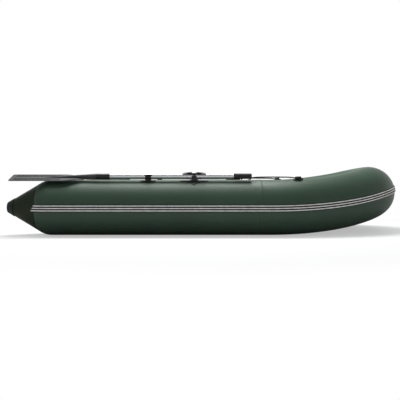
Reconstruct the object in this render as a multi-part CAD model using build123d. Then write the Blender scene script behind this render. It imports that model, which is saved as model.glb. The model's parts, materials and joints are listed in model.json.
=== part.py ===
from build123d import *
from math import acos, asin, cos, degrees, radians, sin, sqrt, tan
import os

# Inflatable motor dinghy, millimetres.  +X points to the bow, +Y to port, +Z up.
# While it is built, x is measured forward from the shoulder where the straight
# side tubes meet the stern cones; every node is then moved so that the origin
# lies on the floor under the middle of the boat's box.

# ---- Hull tubes -------------------------------------------------------------
tube_radius = 183.0
half_spacing = 512.0
straight_length = 1482.0
bow_seam_setback = 72.0
bow_side_radius = 990.0
bow_side_turn = 42.5
bow_plane_tilt = 15.6
glue_line = 0.2

# ---- Stern cones ------------------------------------------------------------
cone_half_angle = 30.5
cone_tip_radius = 34.0
cone_shoulder_radius = 140.0
cone_collar = 45.0
cap_wall = 2.5
cap_length = 40.0
cap_edge_radius = 7.0

# ---- Rub strake -------------------------------------------------------------
strake_width = 44.0
strake_thickness = 4.0
strake_end = -57.5
strake_rake = 23.0
rib_width = 6.2
rib_height = 2.5
rib_pitch = 15.5

# ---- Bottom, floor and transom ----------------------------------------------
bottom_height = 25.0
bottom_thickness = 2.0
bottom_nose_angle = 15.0
transom_x = 128.0
transom_thickness = 25.0
transom_top = 373.0
transom_half_width = 395.0
transom_corner = 35.0
motor_notch_width = 320.0
motor_notch_depth = 8.0
holder_reach = 40.0
holder_wall = 3.0
holder_top_angle = 48.0
pad_width = 260.0
pad_thickness = 7.0
pad_outer_height = 190.0
pad_inner_height = 90.0
drain_radius = 24.0
drain_offset = 210.0
drain_height = 62.0
slat_width = 105.0
slat_gap = 45.0
slat_thickness = 9.0
slat_end_gap = 14.0
slat_first = 70.0
strap_width = 38.0
strap_thickness = 1.5
strap_offset = 230.0

# ---- Seats and their rails ---------------------------------------------------
rail_angle = 48.0
rail_start = 190.0
rail_end = 1440.0
rail_base_width = 42.0
rail_base_thickness = 2.5
rail_neck = 4.0
rail_bead_radius = 5.0
bracket_width = 22.0
bracket_height = 14.0
slide_gap = 0.3
bench_width = 220.0
bench_thickness = 12.0
bench_overhang = 17.0
bench_corner = 28.0
front_bench_x = 1330.0
rear_bench_x = 470.0

# ---- Rowlocks, oar clips and oars --------------------------------------------
rowlock_x = 980.0
oar_offset = 60.0
oar_rise = 23.0
shaft_radius = 15.0
shaft_wall = 1.5
handle_reach = 377.0
grip_length = 118.0
grip_wall = 3.0
spigot_length = 46.0
blade_reach = 1202.0
blade_width = 135.0
blade_thickness = 4.0
blade_square_length = 342.0
blade_throat_reach = 700.0
blade_drop = 10.0
blade_tilt = 17.5
blade_corner = 12.0
socket_start = 642.0
socket_end = 552.0
socket_wall = 2.0
pin_radius = 5.0
pin_gap = 0.06
base_length = 206.0
base_breadth = 118.0
base_thickness = 3.0
base_hollow = 12.0
boss_radius = 24.0
yoke_width = 34.0
yoke_wall = 6.0
yoke_rise = 8.0
saddle_length = 160.0
saddle_width = 30.0
saddle_rise = 13.0
saddle_wrap = 1.5
saddle_lift = 3.5
nut_flange_radius = 13.5
clip_x = 679.0
clip_width = 38.0
clip_wall = 5.0
clip_flare = 8.5
clip_flare_depth = 12.0
clip_pad_length = 97.0
clip_pad_breadth = 44.0

# ---- Lifelines and valves ----------------------------------------------------
line_radius = 4.3
line_eye_reach = 183.0
line_eye_angle = 15.0
line_end_x = 1352.0
line_end_angle = 27.0
valve_radius = 31.0
valve_rise = 9.0
valve_x = 265.0
valve_angle = 18.0
bow_valve_angle = 24.0

# ---- Worked-out places --------------------------------------------------------
crown = 2 * tube_radius
tube_centre = Vector(0, -half_spacing, tube_radius)
forward = Vector(1, 0, 0)
tilt = radians(bow_plane_tilt)
inboard = Vector(0, cos(tilt), sin(tilt))
side_start = tube_centre + forward * straight_length
side_centre = side_start + inboard * bow_side_radius
side_axis = Axis(side_centre, forward.cross(inboard))
turn = radians(bow_side_turn)
nose_tangent = forward * cos(turn) + inboard * sin(turn)
nose_start = (
    side_start + forward * (bow_side_radius * sin(turn)) + inboard * (bow_side_radius * (1 - cos(turn)))
)
athwart = Vector(0, 1, 0)
nose_inward = (athwart - nose_tangent * nose_tangent.dot(athwart)).normalized()
nose_turn = acos(nose_tangent.dot(athwart))
nose_radius = -nose_start.Y / (sin(nose_turn) * nose_tangent.Y + (1 - cos(nose_turn)) * nose_inward.Y)
nose_axis = Axis(nose_start + nose_inward * nose_radius, nose_tangent.cross(nose_inward))
nose = nose_start + nose_tangent * (nose_radius * sin(nose_turn)) + nose_inward * (
    nose_radius * (1 - cos(nose_turn))
)
cone_slope = tan(radians(cone_half_angle))
cone_length = (tube_radius - cone_tip_radius) / cone_slope
shaft_axis_z = crown + oar_rise
socket_radius = shaft_radius + socket_wall
grip_radius = shaft_radius + grip_wall
pin_y = -half_spacing - oar_offset
seat_angle = degrees(asin(oar_offset / tube_radius))
floor_top = bottom_height + bottom_thickness + slat_thickness
line_eye_x = straight_length + line_eye_reach
tube_ring = Plane(origin=side_start, x_dir=(0, 1, 0), z_dir=(1, 0, 0))


def port(shape):
    """The same piece on the port side."""
    return mirror(shape, about=Plane.XZ)


def join(first, second):
    """One solid from two that meet on a shared face."""
    return first.solid().fuse(second.solid(), glue=True).solid()


def around_bow(face, aft):
    """The straight piece aft, its cross-section carried round the bow, and its twin to port."""
    side = join(aft, revolve(face, side_axis, bow_side_turn))
    nose_part = revolve(face.rotate(side_axis, bow_side_turn), nose_axis, 2 * degrees(nose_turn))
    return join(join(side, nose_part), port(side))


def hull_form(growth, x_end):
    """The straight tube with its stern cone, grown by a skin of the given thickness."""
    shoulder = -growth * tan(radians(cone_half_angle) / 2)
    tip = tube_radius + growth / cos(radians(cone_half_angle)) - cone_length * cone_slope
    outline = Polyline(
        (x_end, 0), (x_end, tube_radius + growth), (shoulder, tube_radius + growth),
        (-cone_length, tip), (-cone_length, 0), close=True,
    )
    face = make_face(outline)
    corner = face.vertices().sort_by_distance((shoulder, tube_radius + growth, 0))[0]
    face = fillet(corner, cone_shoulder_radius + growth)
    lie = Plane(origin=tube_centre, x_dir=(1, 0, 0), z_dir=(0, -1, 0))
    return revolve(lie * face, Axis(tube_centre, forward))


def tube_cylinder(radius, x_start, x_end):
    ring = Plane(origin=tube_centre + forward * x_start, x_dir=(0, 1, 0), z_dir=(1, 0, 0))
    return extrude(ring * Circle(radius), x_end - x_start)


def skin(inner, outer, x_start, x_end):
    """A curved layer lying on the straight side tube."""
    return tube_cylinder(tube_radius + outer, x_start, x_end) - tube_cylinder(
        tube_radius + inner, x_start - 1, x_end + 1
    )


def on_tube(x, angle):
    """Tangent plane of the starboard tube; the angle runs outboard from the crown."""
    out = Vector(0, -sin(radians(angle)), cos(radians(angle)))
    return Plane(origin=tube_centre + forward * x + out * tube_radius, x_dir=(1, 0, 0), z_dir=out)


def on_bow(x, angle):
    """Tangent plane of the bow tube; the angle runs outboard from the crown."""
    swing = asin((x - straight_length) / bow_side_radius)
    along = forward * cos(swing) + inboard * sin(swing)
    middle = side_start + (side_centre - side_start) * (1 - cos(swing)) + forward * (bow_side_radius * sin(swing))
    up = (Vector(0, 0, 1) - along * along.Z).normalized()
    out = up * cos(radians(angle)) + along.cross(up) * sin(radians(angle))
    return Plane(origin=middle + out * tube_radius, x_dir=along, z_dir=out)


# ---- Hull ----------------------------------------------------------------------
def side_tube():
    return tube_cylinder(tube_radius, cone_collar, straight_length - bow_seam_setback)


def bow_tube():
    stub = tube_cylinder(tube_radius, straight_length - bow_seam_setback, straight_length)
    return around_bow(tube_ring * Circle(tube_radius), stub)


def tube_runs():
    """Each straight or single-bend run of the tubes, for trimming the pieces that meet them."""
    disc = tube_ring * Circle(tube_radius)
    runs = [tube_cylinder(tube_radius, cone_collar, straight_length), revolve(disc, side_axis, bow_side_turn)]
    nose_part = revolve(disc.rotate(side_axis, bow_side_turn), nose_axis, 2 * degrees(nose_turn))
    return runs + [port(run) for run in runs] + [nose_part]


def stern_cone():
    return hull_form(0, cone_collar)


def cone_cap():
    """Moulded thimble over the truncated end of the cone."""
    inner_start = tube_radius - (cone_length - cap_length) * cone_slope
    inner_end = tube_radius - cone_length * cone_slope
    proud = cap_wall / cos(radians(cone_half_angle))
    tail = cone_length + 2 * cap_wall
    outline = Polyline(
        (-cone_length + cap_length, inner_start), (-cone_length, inner_end), (-cone_length, 0), (-tail, 0),
        (-tail, inner_end + proud - 2 * cap_wall * cone_slope), (-cone_length + cap_length, inner_start + proud),
        close=True,
    )
    face = make_face(outline)
    edge = face.vertices().sort_by_distance((-tail, inner_end, 0))[0]
    face = fillet(edge, cap_edge_radius)
    lie = Plane(origin=tube_centre, x_dir=(1, 0, 0), z_dir=(0, -1, 0))
    return revolve(lie * face, Axis(tube_centre, forward))


def strake_layer(inner, outer):
    """Thin layer over the outboard side of the straight tube and the start of the cone."""
    half_turn = radians(cone_half_angle) / 2
    reach = strake_end - strake_width

    def corner(growth):
        return -growth * tan(half_turn), tube_radius + growth

    def on_cone(growth):
        return reach, tube_radius + growth / cos(radians(cone_half_angle)) + reach * cone_slope

    outline = Polyline(
        (straight_length, tube_radius + inner), (straight_length, tube_radius + outer), corner(outer),
        on_cone(outer), on_cone(inner), corner(inner), close=True,
    )
    face = make_face(outline)
    for growth in (outer, inner):
        vertex = face.vertices().sort_by_distance((*corner(growth), 0))[0]
        face = fillet(vertex, cone_shoulder_radius + growth)
    lie = Plane(origin=tube_centre, x_dir=(1, 0, 0), z_dir=(0, 0, -1))
    sector = degrees(asin(strake_width / tube_radius))
    start = (lie * face).rotate(Axis(tube_centre, forward), -sector)
    return revolve(start, Axis(tube_centre, forward), 2 * sector)


def strake_band(inner, outer, centre, width):
    """One strip of the rub strake, from the stern cone round the bow to the other cone."""
    low = tube_radius + centre - width / 2
    high = tube_radius + centre + width / 2
    rake = strake_rake / strake_width
    end_low = strake_end + rake * (centre - width / 2)
    end_high = strake_end + rake * (centre + width / 2)
    side_view = Plane(origin=(0, -half_spacing, 0), x_dir=(1, 0, 0), z_dir=(0, -1, 0))
    ahead = straight_length + strake_width
    strip = make_face(Polyline((end_low, low), (ahead, low), (ahead, high), (end_high, high), close=True))
    aft = strake_layer(inner, outer) & extrude(side_view * strip, 2 * tube_radius)
    window = Pos(-tube_radius, centre) * Rectangle(tube_radius, width)
    ring = (Circle(tube_radius + outer) - Circle(tube_radius + inner)) & window
    return around_bow(tube_ring * ring, aft)


def rub_strake():
    return strake_band(glue_line, strake_thickness, 0, strake_width)


def strake_ribs():
    top = strake_thickness + rib_height
    foot = strake_thickness + glue_line / 2
    return [strake_band(foot, top, step * rib_pitch, rib_width) for step in (-1, 0, 1)]


def hull_bottom(tubes):
    """Bottom sheet between the tubes: flat aft, sweeping up to the bow tube."""
    aft = transom_x - transom_thickness / 2
    end_angle = radians(bottom_nose_angle)
    end = (nose.X - tube_radius * sin(end_angle), nose.Z - tube_radius * cos(end_angle))
    run = Line((aft, bottom_height), (straight_length, bottom_height))
    sweep_up = TangentArc((straight_length, bottom_height), end, tangent=(1, 0))
    run_in = Line(sweep_up @ 1, sweep_up @ 1 + (sweep_up % 1) * (tube_radius / 4))
    under = Curve() + [run, sweep_up, run_in]
    side_view = Plane(origin=(0, 0, 0), x_dir=(1, 0, 0), z_dir=(0, -1, 0))
    strip = side_view * trace(under, 2 * bottom_thickness)
    sheet = extrude(strip, half_spacing - tube_radius / 4, both=True)
    for tube in tubes:
        sheet = sheet - tube
    keep = sheet.solids().sort_by_distance((straight_length / 2, 0, bottom_height))[0]
    return keep


# ---- Transom -------------------------------------------------------------------
def transom(tubes):
    low = bottom_height + bottom_thickness
    half_notch = motor_notch_width / 2
    notch_low = transom_top - motor_notch_depth
    outline = Polyline(
        (-transom_half_width, low), (transom_half_width, low), (transom_half_width, transom_top),
        (half_notch + motor_notch_depth, transom_top), (half_notch, notch_low), (-half_notch, notch_low),
        (-half_notch - motor_notch_depth, transom_top), (-transom_half_width, transom_top), close=True,
    )
    face = make_face(outline)
    corners = [v for v in face.vertices() if abs(v.Y - transom_top) < 1 and abs(v.X) > transom_half_width - 1]
    face = fillet(corners, transom_corner)
    back = Plane(origin=(transom_x - transom_thickness / 2, 0, 0), x_dir=(0, 1, 0), z_dir=(1, 0, 0))
    board = extrude(back * face, transom_thickness)
    for tube in tubes:
        board = board - tube
    return board.solids().sort_by(SortBy.VOLUME)[-1]


def transom_holder(side):
    """Angle strip glued to the tube along one face of the transom; side is +1 forward, -1 aft."""
    face_x = transom_x + side * transom_thickness / 2
    reach = holder_reach * side
    wall = holder_wall * side
    outline = Polyline(
        (face_x, tube_radius), (face_x + reach, tube_radius), (face_x + reach, tube_radius + holder_wall),
        (face_x + wall, tube_radius + holder_wall), (face_x + wall, tube_radius + holder_reach),
        (face_x, tube_radius + holder_reach), close=True,
    )
    foot = bottom_height + bottom_thickness + holder_wall
    low_angle = degrees(asin((tube_radius - foot) / (tube_radius + holder_reach)))
    lie = Plane(origin=tube_centre, x_dir=(1, 0, 0), z_dir=(0, 0, 1))
    start = (lie * make_face(outline)).rotate(Axis(tube_centre, forward), -low_angle)
    return revolve(start, Axis(tube_centre, forward), low_angle + holder_top_angle)


def transom_pad(side, height):
    """Moulded plate that the motor's clamp bears on, with bevelled edges."""
    top = transom_top - motor_notch_depth - 4
    face_x = transom_x + side * transom_thickness / 2
    back = Plane(origin=(face_x, 0, top - height / 2), x_dir=(0, 1, 0), z_dir=(side, 0, 0))
    plate = extrude(back * RectangleRounded(pad_width, height, 14), pad_thickness)
    rim = plate.faces().sort_by(Axis.X)[-1 if side > 0 else 0].edges()
    return chamfer(rim, pad_thickness / 2)


def drain_plug():
    back = Plane(
        origin=(transom_x - transom_thickness / 2, -drain_offset, drain_height), x_dir=(0, 1, 0), z_dir=(-1, 0, 0)
    )
    flange = extrude(back * Circle(drain_radius), 4)
    cap = extrude(back.offset(4) * Circle(drain_radius * 0.72), 9)
    cap = fillet(cap.edges().sort_by(Axis.X)[0], 3)
    return flange + cap


# ---- Floor and seats -------------------------------------------------------------
def floor_slats():
    height = floor_top
    half_gap = half_spacing - sqrt(tube_radius**2 - (tube_radius - height) ** 2)
    half_length = half_gap - slat_end_gap
    pitch = slat_width + slat_gap
    start = transom_x + slat_first
    count = int((straight_length - start) / pitch)
    slats = []
    for step in range(count):
        middle = Vector(start + slat_width / 2 + step * pitch, 0, bottom_height + bottom_thickness)
        board = extrude(Plane(origin=middle) * RectangleRounded(slat_width, 2 * half_length, 16), slat_thickness)
        slats.append(board)
    return slats


def floor_straps():
    pitch = slat_width + slat_gap
    start = transom_x + slat_first
    count = int((straight_length - start) / pitch)
    length = count * pitch - slat_gap
    straps = []
    for side in (-1, 1):
        middle = Vector(start + length / 2, side * strap_offset, floor_top)
        straps.append(extrude(Plane(origin=middle) * Rectangle(length - 30, strap_width), strap_thickness))
    return straps


def rail_place():
    """Where the seat rail's neck leaves the tube, and the bead's middle above it, in Y, Z and Z."""
    angle = radians(rail_angle)
    across = tube_radius * cos(angle)
    base = tube_radius + rail_base_thickness
    bracket_edge = across - bracket_width / 2
    clear = tube_radius + sqrt(base**2 - bracket_edge**2) + 2 * slide_gap
    return -half_spacing + across, tube_radius + tube_radius * sin(angle), clear + bracket_height / 2


def seat_rail():
    y, z, bead_z = rail_place()
    ring = Plane(origin=(rail_start, 0, 0), x_dir=(0, 1, 0), z_dir=(1, 0, 0))
    inside = Pos(-half_spacing, tube_radius) * Circle(tube_radius + glue_line)
    layer = Pos(-half_spacing, tube_radius) * Circle(tube_radius + rail_base_thickness) - inside
    base = layer & Pos(y, z) * Rot(0, 0, rail_angle - 90) * Rectangle(rail_base_width, rail_base_width)
    neck = Pos(y, (z + bead_z) / 2) * Rectangle(rail_neck, bead_z - z) - inside
    bead = Pos(y, bead_z) * Circle(rail_bead_radius)
    return extrude(ring * (base + neck + bead), rail_end - rail_start)


def seat_bracket(x):
    """Channel under one end of a bench that slides over the rail's bead."""
    y, z, middle = rail_place()
    ring = Plane(origin=(x - bench_width / 2 + 15, 0, 0), x_dir=(0, 1, 0), z_dir=(1, 0, 0))
    block = Pos(y, middle) * RectangleRounded(bracket_width, bracket_height, 2)
    groove = Pos(y, middle) * Circle(rail_bead_radius + slide_gap)
    mouth = Pos(y, middle - bracket_height / 2) * Rectangle(rail_neck + 4 * slide_gap, bracket_height)
    return extrude(ring * (block - groove - mouth), bench_width - 30)


def bench_seat(x):
    y, z, bead_z = rail_place()
    under = bead_z + bracket_height / 2
    half_length = -y + bench_overhang
    board = extrude(
        Plane(origin=(x, 0, under)) * RectangleRounded(bench_width, 2 * half_length, bench_corner), bench_thickness
    )
    return fillet(board.faces().sort_by(Axis.Z)[-1].edges(), 3)


# ---- Rowlock and oar ---------------------------------------------------------------
def hollow_side(first, second):
    """One inward-curving side of the rowlock's rubber foot."""
    chord = second - first
    inward = Vector(-chord.Y, chord.X).normalized()
    return ThreePointArc(first, (first + second) / 2 + inward * base_hollow, second)


def rowlock_base():
    """Four-pointed rubber foot on the tube with a level boss for the pin."""
    plane = on_tube(rowlock_x, seat_angle)
    tips = [Vector(base_length / 2, 0), Vector(0, base_breadth / 2), Vector(-base_length / 2, 0), Vector(0, -base_breadth / 2)]
    sides = [hollow_side(a, b) for a, b in zip(tips, tips[1:] + tips[:1])]
    lozenge = fillet(make_face(Curve() + sides).vertices(), 1.5)
    x_start = rowlock_x - base_length
    pad = skin(glue_line, base_thickness, x_start, rowlock_x + base_length) & extrude(plane * lozenge, 60, both=True)
    boss_top = shaft_axis_z - shaft_radius - yoke_wall - slide_gap * 2
    column = Plane(origin=(rowlock_x, pin_y, boss_top))
    under = tube_cylinder(tube_radius + glue_line, x_start, rowlock_x + base_length)
    boss = extrude(column * Circle(boss_radius), -40) - under
    swing = sqrt((yoke_width / 2) ** 2 + (shaft_radius + yoke_wall) ** 2) + 1
    table = extrude(column * Circle(swing), 40)
    bore = extrude(column.offset(1) * Circle(pin_radius), -60)
    return (pad - table) + boss - bore


def rowlock_pin():
    """Steel pin standing in the base, with a domed nut above the oar."""
    foot = tube_radius + sqrt(tube_radius**2 - (oar_offset - pin_radius) ** 2) + 0.5
    seat = shaft_axis_z + shaft_radius + 3.0
    stem = extrude(Plane(origin=(rowlock_x, pin_y, foot)) * Circle(pin_radius), seat - foot)
    dome_top = shaft_axis_z + shaft_radius + saddle_rise
    profile = make_face(
        Polyline(
            (0, seat), (nut_flange_radius, seat), (nut_flange_radius, seat + 3), (9, seat + 4),
            (8, dome_top - 2.5), (4.5, dome_top), (0, dome_top), close=True,
        )
    )
    upright = Plane(origin=(rowlock_x, pin_y, 0), x_dir=(1, 0, 0), z_dir=(0, -1, 0))
    return stem + revolve(upright * profile, Axis((rowlock_x, pin_y, 0), (0, 0, 1)))


def pin_hole():
    return extrude(Plane(origin=(rowlock_x, pin_y, crown - 20)) * Circle(pin_radius + pin_gap), 100)


def rowlock_yoke():
    """Fork that carries the shaft and swivels on the base."""
    half = shaft_radius + yoke_wall
    low = shaft_axis_z - half
    across = Plane(origin=(rowlock_x - yoke_width / 2, pin_y, 0), x_dir=(0, 1, 0), z_dir=(1, 0, 0))
    top = shaft_axis_z + yoke_rise
    section = Pos(0, (low + top) / 2) * Rectangle(2 * half, top - low)
    opening = Pos(0, shaft_axis_z) * Circle(shaft_radius) + Pos(0, shaft_axis_z + 30) * Rectangle(
        2 * shaft_radius, 60
    )
    fork = extrude(across * (section - opening), yoke_width)
    side_view = Plane(origin=(rowlock_x, pin_y, 0), x_dir=(1, 0, 0), z_dir=(0, -1, 0))
    arch = Pos(0, (low + shaft_axis_z - 9) / 2) * Rectangle(yoke_width, shaft_axis_z - 9 - low)
    arch = arch + Pos(0, top - yoke_width / 2) * Circle(yoke_width / 2)
    return (fork & extrude(side_view * arch, half + 1, both=True)) - pin_hole()


def rowlock_saddle():
    """Rubber saddle on top of the shaft: two leaves and a seat for the nut."""
    side_view = Plane(origin=(rowlock_x, pin_y, 0), x_dir=(1, 0, 0), z_dir=(0, -1, 0))
    shaft_top = shaft_axis_z + shaft_radius
    half = saddle_length / 2
    low = shaft_top - saddle_wrap
    tip = shaft_top + saddle_lift
    seat = nut_flange_radius + 8
    arc = ThreePointArc((half, tip + 1), (0, shaft_top + saddle_rise - 1), (-half, tip + 1))
    under = Polyline((-half, tip + 1), (-half, tip), (-seat, low), (seat, low), (half, tip), (half, tip + 1))
    body = extrude(side_view * make_face(Curve() + [arc, under]), saddle_width / 2, both=True)
    along = Plane(origin=(rowlock_x - half - 1, pin_y, shaft_axis_z), x_dir=(0, 1, 0), z_dir=(1, 0, 0))
    body = body - extrude(along * Circle(shaft_radius), saddle_length + 2)
    nut_seat = Plane(origin=(rowlock_x, pin_y, shaft_top + 3.0 - slide_gap))
    pocket = extrude(nut_seat * Rectangle(2 * nut_flange_radius + 2, saddle_width + 2), 30)
    return body - pocket - pin_hole()


def oar_shaft():
    along = Plane(
        origin=(rowlock_x - socket_start, pin_y, shaft_axis_z), x_dir=(0, 1, 0), z_dir=(1, 0, 0)
    )
    length = socket_start + handle_reach - grip_length
    tube = extrude(along * Circle(shaft_radius), length) - extrude(along * Circle(shaft_radius - shaft_wall), length)
    return tube - pin_hole()


def oar_grip():
    """Moulded handle with finger rings and a spigot pushed into the shaft."""
    start = handle_reach - grip_length
    r = grip_radius
    spigot = shaft_radius - shaft_wall
    outline = Polyline(
        (start - spigot_length, 0), (start - spigot_length, spigot), (start, spigot), (start, r),
        (handle_reach, r), (handle_reach, 0), close=True,
    )
    face = make_face(outline)
    face = fillet(face.vertices().sort_by_distance((handle_reach, r, 0))[0], 7)
    along = Plane(origin=(rowlock_x, pin_y, shaft_axis_z), x_dir=(1, 0, 0), z_dir=(0, -1, 0))
    return revolve(along * face, Axis((rowlock_x, pin_y, shaft_axis_z), (1, 0, 0)))


def oar_socket():
    start = -socket_start
    outline = Polyline(
        (start, shaft_radius), (start, socket_radius), (-socket_end - 6, socket_radius),
        (-socket_end, shaft_radius + 2), (-socket_end, shaft_radius), close=True,
    )
    along = Plane(origin=(rowlock_x, pin_y, shaft_axis_z), x_dir=(1, 0, 0), z_dir=(0, -1, 0))
    return revolve(along * make_face(outline), Axis((rowlock_x, pin_y, shaft_axis_z), (1, 0, 0)))


def oar_blade():
    """Ribbed blade whose spine swells into a round throat with a spigot in the shaft."""
    half = blade_width / 2
    parallel_end = -(blade_reach - blade_square_length)
    throat = -blade_throat_reach
    neck = socket_radius
    flank = Spline(
        (parallel_end, half), ((parallel_end + throat) / 2, half * 0.62), (throat, neck),
        tangents=[(1, 0), (1, 0)], tangent_scalars=[1, 1],
    )
    edge = Curve() + [
        Line((-blade_reach, half), (parallel_end, half)), flank, Line((throat, neck), (-socket_start, neck)),
    ]
    other = mirror(edge, about=Plane.XZ)
    ends = [
        Line((-blade_reach, -half), (-blade_reach, half)),
        Line((-socket_start, neck), (-socket_start, -neck)),
    ]
    outline = make_face(Curve() + [edge, other] + ends)
    tips = outline.vertices().sort_by(Axis.X)[:2]
    outline = fillet(tips, blade_corner)
    plate = extrude(Plane(origin=(0, 0, -blade_drop - blade_thickness / 2)) * outline, blade_thickness)
    thick = Plane(origin=(-socket_start, 0, 0), x_dir=(0, 1, 0), z_dir=(1, 0, 0))
    thin = Plane(origin=(parallel_end - 120, 0, -blade_drop), x_dir=(0, 1, 0), z_dir=(1, 0, 0))
    spine = loft([thick * Circle(socket_radius), thin * Circle(blade_thickness * 0.8)])
    spigot = extrude(thick.offset(-1) * Circle(shaft_radius - shaft_wall), spigot_length + 1)
    blade = plate + spine + spigot
    for step in (-2, -1, 1, 2):
        rib = Pos(-blade_reach + blade_square_length / 2 + 8, step * 24, -blade_drop) * Box(
            blade_square_length - 40, 5, blade_thickness + 4
        )
        blade = blade + rib
    return Location((rowlock_x, pin_y, shaft_axis_z)) * blade.rotate(Axis.X, blade_tilt)


def oar_clip():
    """Sprung clip on its own pad that holds the shaft when the oar is stowed."""
    x_start = clip_x - clip_pad_length
    plane = on_tube(clip_x, seat_angle)
    pad = skin(glue_line, base_thickness, x_start, clip_x + clip_pad_length) & extrude(
        plane * RectangleRounded(clip_pad_length, clip_pad_breadth, 14), 60, both=True
    )
    inner = shaft_radius + slide_gap
    outer = inner + clip_wall
    lip = shaft_axis_z + shaft_radius - 3
    across = Plane(origin=(clip_x - clip_width / 2 - clip_flare, pin_y, 0), x_dir=(0, 1, 0), z_dir=(1, 0, 0))
    cup = Pos(0, shaft_axis_z) * Circle(outer) + Pos(0, (crown - 25 + shaft_axis_z) / 2) * Rectangle(
        outer * 1.3, shaft_axis_z - crown + 25
    )
    jaws = Pos(0, (shaft_axis_z + lip) / 2) * Rectangle(2 * outer, lip - shaft_axis_z)
    gap = Pos(0, shaft_axis_z) * Circle(inner) + Pos(0, shaft_axis_z + 20) * Rectangle(2 * inner - 5, 40)
    above = Pos(0, lip + 25) * Rectangle(100, 50)
    section = (cup + jaws) - gap - above
    wide = extrude(across * section, clip_width + 2 * clip_flare)
    neck = clip_width / 2
    edge = neck + clip_flare
    profile = Polyline(
        (-neck, 0), (neck, 0), (neck, lip - clip_flare_depth), (edge, lip), (-edge, lip),
        (-neck, lip - clip_flare_depth), close=True,
    )
    side_view = Plane(origin=(clip_x, pin_y, 0), x_dir=(1, 0, 0), z_dir=(0, -1, 0))
    clip = wide & extrude(side_view * make_face(profile), 2 * outer, both=True)
    return pad + (clip - tube_cylinder(tube_radius, x_start, clip_x + clip_pad_length))


# ---- Lifeline and valves --------------------------------------------------------------
def lifeline_points():
    """Route of the grab line from its inboard eye, up over the tube, to the eye on the crown."""
    y0 = -half_spacing
    root = on_tube(line_end_x, -line_end_angle)
    eye = on_bow(line_eye_x, line_eye_angle)
    return [
        root.origin + root.z_dir * 13,
        Vector(line_end_x + 4, y0 + 50, crown + 11),
        Vector(line_end_x + 28, y0 + 20, crown + 16.5),
        Vector(line_end_x + 90, y0 + 8, crown + 18.5),
        Vector(line_end_x + 200, y0 - 2, crown + 18),
        Vector(line_end_x + 260, y0 - 14, crown + 17.5),
        eye.origin + eye.z_dir * 13.5 - eye.x_dir * 12,
        eye.origin + eye.z_dir * 8 + eye.x_dir * 34,
    ]


def line_radii(points):
    radii = []
    for before, here, after in zip(points, points[1:], points[2:]):
        first = here - before
        second = after - here
        bend = radians(first.get_angle(second))
        radii.append(0.45 * min(first.length, second.length) / tan(bend / 2))
    return radii


def rope(radius):
    points = lifeline_points()
    path = FilletPolyline(*points, radius=line_radii(points))
    return sweep(Plane(origin=path @ 0, z_dir=path % 0) * Circle(radius), path=path)


def lifeline():
    print("lifeline bend radii", [round(r) for r in line_radii(lifeline_points())])
    return rope(line_radius)


def line_eyes():
    """The two moulded eyes that hold the ends of the grab line."""
    hole = rope(line_radius + slide_gap)
    crown_eye = eye_block(on_bow(line_eye_x, line_eye_angle), 68, 42) - hole
    end_eye = eye_block(on_tube(line_end_x, -line_end_angle), 40, 22) - hole
    return [crown_eye, end_eye]


def eye_block(plane, length, post_length):
    pad = extrude(plane * SlotOverall(length, 30), 3)
    post = extrude(plane * RectangleRounded(post_length, 20, 8), 23)
    post = fillet(post.faces().sort_by(Axis(plane.origin, plane.z_dir))[-1].edges(), 3)
    return pad + post


def air_valve(plane):
    """Round valve with a screw cap, let into the tube's skin."""
    profile = make_face(
        Polyline(
            (0, -4), (valve_radius, -4), (valve_radius, 2), (valve_radius - 4, 4), (valve_radius * 0.72, 4),
            (valve_radius * 0.68, valve_rise), (0, valve_rise), close=True,
        )
    )
    upright = Plane(origin=plane.origin, x_dir=plane.x_dir, z_dir=-plane.y_dir)
    return revolve(upright * profile, Axis(plane.origin, plane.z_dir))


def valve_places():
    side = on_tube(valve_x, -(90 - valve_angle))
    angle = radians(bow_valve_angle)
    up_and_aft = Vector(-cos(angle), 0, sin(angle))
    middle = Plane(origin=nose + up_and_aft * tube_radius, x_dir=(0, 1, 0), z_dir=up_and_aft)
    return side, middle


def air_valves(tubes):
    side, middle = valve_places()
    valves = [air_valve(side), port(air_valve(side)), air_valve(middle)]
    clear = []
    for valve in valves:
        for tube in tubes:
            valve = valve - tube
        clear.append(valve.solids().sort_by(SortBy.VOLUME)[-1])
    return clear


# ---- Everything together ----------------------------------------------------------------
def build():
    tubes = tube_runs()
    nodes = {
        "bow_tube": bow_tube(),
        "rub_strake": rub_strake(),
        "strake_ribs": strake_ribs(),
        "hull_bottom": hull_bottom(tubes),
        "transom": transom(tubes),
        "transom_pad_outer": transom_pad(-1, pad_outer_height),
        "transom_pad_inner": transom_pad(1, pad_inner_height),
        "drain_plug": drain_plug(),
        "floor_slats": floor_slats(),
        "floor_straps": floor_straps(),
        "bench_seat_front": bench_seat(front_bench_x),
        "bench_seat_rear": bench_seat(rear_bench_x),
        "air_valves": air_valves(tubes),
    }
    holders = [transom_holder(1), transom_holder(-1)]
    nodes["transom_holders"] = holders + [port(h) for h in holders]
    brackets = [seat_bracket(front_bench_x), seat_bracket(rear_bench_x)]
    nodes["seat_brackets"] = brackets + [port(b) for b in brackets]
    eyes = line_eyes()
    nodes["lifeline_eyes"] = eyes + [port(e) for e in eyes]
    paired = {
        "side_tube": side_tube(),
        "stern_cone": stern_cone(),
        "cone_cap": cone_cap(),
        "seat_rail": seat_rail(),
        "rowlock_base": rowlock_base(),
        "rowlock_pin": rowlock_pin(),
        "rowlock_yoke": rowlock_yoke(),
        "rowlock_saddle": rowlock_saddle(),
        "oar_shaft": oar_shaft(),
        "oar_grip": oar_grip(),
        "oar_socket": oar_socket(),
        "oar_blade": oar_blade(),
        "oar_clip": oar_clip(),
        "lifeline": lifeline(),
    }
    for name, shape in paired.items():
        nodes[name + "_starboard"] = shape
        nodes[name + "_port"] = port(shape)
    return nodes


def solids_of(shape):
    pieces = shape if isinstance(shape, list) else [shape]
    return [solid for piece in pieces for solid in piece.solids()]


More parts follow.
